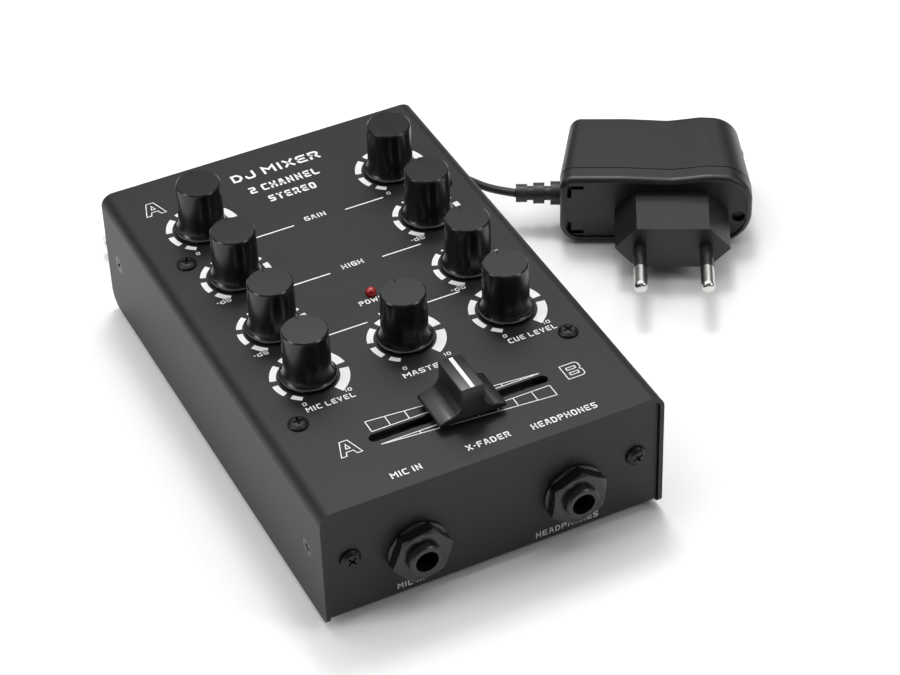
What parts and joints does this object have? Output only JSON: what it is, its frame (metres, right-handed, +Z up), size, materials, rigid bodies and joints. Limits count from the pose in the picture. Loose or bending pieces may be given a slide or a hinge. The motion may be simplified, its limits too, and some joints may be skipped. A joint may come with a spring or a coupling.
{
  "type": "dj mixer",
  "caption": "Pocket DJ mixer: folded black steel case with rotary level and tone knobs, a crossfader, jack and phono sockets, and its wall-plug power supply.",
  "frame": {"origin": "centre of the mixer's footprint, on the plane its rubber feet stand on", "axes": "+Z up through the control panel, +X to the right along the crossfader's travel, -Y out of the panel with the two 6.35 mm jacks"},
  "size_m": [0.19, 0.1872, 0.0548],
  "materials": {
    "case_paint": "fine matt black powder coat",
    "bracket_zinc": "zinc plated",
    "rubber": "matt rubber",
    "black_screws": "black oxide, satin",
    "steel": "nickel plated",
    "fader_steel": "tinned sheet",
    "board_green": "green solder mask",
    "board_brown": "phenolic board",
    "knob_gloss": "gloss black",
    "shaft_plastic": "natural nylon",
    "pot_body": "dull blue",
    "carriage_plastic": "natural acetal",
    "fader_cap": "satin black",
    "jack_plastic": "satin black",
    "jack_nuts": "satin black",
    "contacts": "tinned",
    "led_red": "diffused red epoxy",
    "insert_white": "white",
    "insert_red": "red",
    "switch_nub": "matt black",
    "adapter_case": "fine textured black",
    "prong_nickel": "nickel plated",
    "sleeve_plastic": "satin black",
    "cord_jacket": "matt black PVC"
  },
  "bodies": {
    "case": {"adapter_board": "board_brown", "adapter_cap": "adapter_case", "adapter_prongs": "prong_nickel", "adapter_relief": "cord_jacket", "adapter_screw": "prong_nickel", "adapter_shell": "adapter_case", "board_screws": "steel", "chassis": "case_paint", "cord_hank": "cord_jacket", "cord_tie": "cord_jacket", "corner_brackets": "bracket_zinc", "crossfader_frame": "fader_steel", "crossfader_rails": "steel", "end_screws": "black_screws", "headphone_jack": "jack_plastic", "inlet_pin": "steel", "jack_contacts": "contacts", "jack_nuts": "jack_nuts", "main_board": "board_green", "mic_jack": "jack_plastic", "panel_screws": "black_screws", "phono_bodies": "jack_plastic", "phono_inserts_left": "insert_white", "phono_inserts_right": "insert_red", "phono_shells": "steel", "plug_barrel": "prong_nickel", "plug_body": "cord_jacket", "potentiometers": "pot_body", "power_inlet": "jack_plastic", "power_led": "led_red", "prong_sleeves": "sleeve_plastic", "rear_board": "board_green", "rubber_feet": "rubber", "side_screws": "black_screws", "standoffs": "bracket_zinc", "supply_cord": "cord_jacket", "switch_bodies": "fader_steel", "top_cover": "case_paint"},
    "gain_a": {"knob_gain_a": "knob_gloss", "shaft_gain_a": "shaft_plastic"},
    "gain_b": {"knob_gain_b": "knob_gloss", "shaft_gain_b": "shaft_plastic"},
    "high_a": {"knob_high_a": "knob_gloss", "shaft_high_a": "shaft_plastic"},
    "high_b": {"knob_high_b": "knob_gloss", "shaft_high_b": "shaft_plastic"},
    "low_a": {"knob_low_a": "knob_gloss", "shaft_low_a": "shaft_plastic"},
    "low_b": {"knob_low_b": "knob_gloss", "shaft_low_b": "shaft_plastic"},
    "mic_level": {"knob_mic_level": "knob_gloss", "shaft_mic_level": "shaft_plastic"},
    "cue_level": {"knob_cue_level": "knob_gloss", "shaft_cue_level": "shaft_plastic"},
    "master_level": {"knob_master_level": "knob_gloss", "shaft_master_level": "shaft_plastic"},
    "crossfader": {"crossfader_carriage": "carriage_plastic", "crossfader_cap": "fader_cap"},
    "switch_a": {"switch_slider_a": "switch_nub"},
    "switch_b": {"switch_slider_b": "switch_nub"}
  },
  "joints": [
    {"name": "gain_a_turn", "type": "hinge", "parent": "case", "child": "gain_a", "pos_m": [-0.0288, 0.0469, 0.0391], "axis": [0, 0, 1], "range_deg": [-150, 150]},
    {"name": "gain_b_turn", "type": "hinge", "parent": "case", "child": "gain_b", "pos_m": [0.0288, 0.0469, 0.0391], "axis": [0, 0, 1], "range_deg": [-150, 150]},
    {"name": "high_a_turn", "type": "hinge", "parent": "case", "child": "high_a", "pos_m": [-0.0288, 0.0228, 0.0391], "axis": [0, 0, 1], "range_deg": [-150, 150]},
    {"name": "high_b_turn", "type": "hinge", "parent": "case", "child": "high_b", "pos_m": [0.0288, 0.0228, 0.0391], "axis": [0, 0, 1], "range_deg": [-150, 150]},
    {"name": "low_a_turn", "type": "hinge", "parent": "case", "child": "low_a", "pos_m": [-0.0288, -0.002, 0.0391], "axis": [0, 0, 1], "range_deg": [-150, 150]},
    {"name": "low_b_turn", "type": "hinge", "parent": "case", "child": "low_b", "pos_m": [0.0288, -0.002, 0.0391], "axis": [0, 0, 1], "range_deg": [-150, 150]},
    {"name": "mic_level_turn", "type": "hinge", "parent": "case", "child": "mic_level", "pos_m": [-0.0288, -0.0242, 0.0391], "axis": [0, 0, 1], "range_deg": [-150, 150]},
    {"name": "cue_level_turn", "type": "hinge", "parent": "case", "child": "cue_level", "pos_m": [0.0288, -0.0242, 0.0391], "axis": [0, 0, 1], "range_deg": [-150, 150]},
    {"name": "master_level_turn", "type": "hinge", "parent": "case", "child": "master_level", "pos_m": [0, -0.0222, 0.0391], "axis": [0, 0, 1], "range_deg": [-150, 150]},
    {"name": "crossfader_slide", "type": "slide", "parent": "case", "child": "crossfader", "axis": [1, 0, 0], "range_m": [-0.0233, 0.0217]},
    {"name": "switch_a_slide", "type": "slide", "parent": "case", "child": "switch_a", "axis": [0, 0, 1], "range_m": [0, 0.0025]},
    {"name": "switch_b_slide", "type": "slide", "parent": "case", "child": "switch_b", "axis": [0, 0, 1], "range_m": [0, 0.0025]}
  ]
}
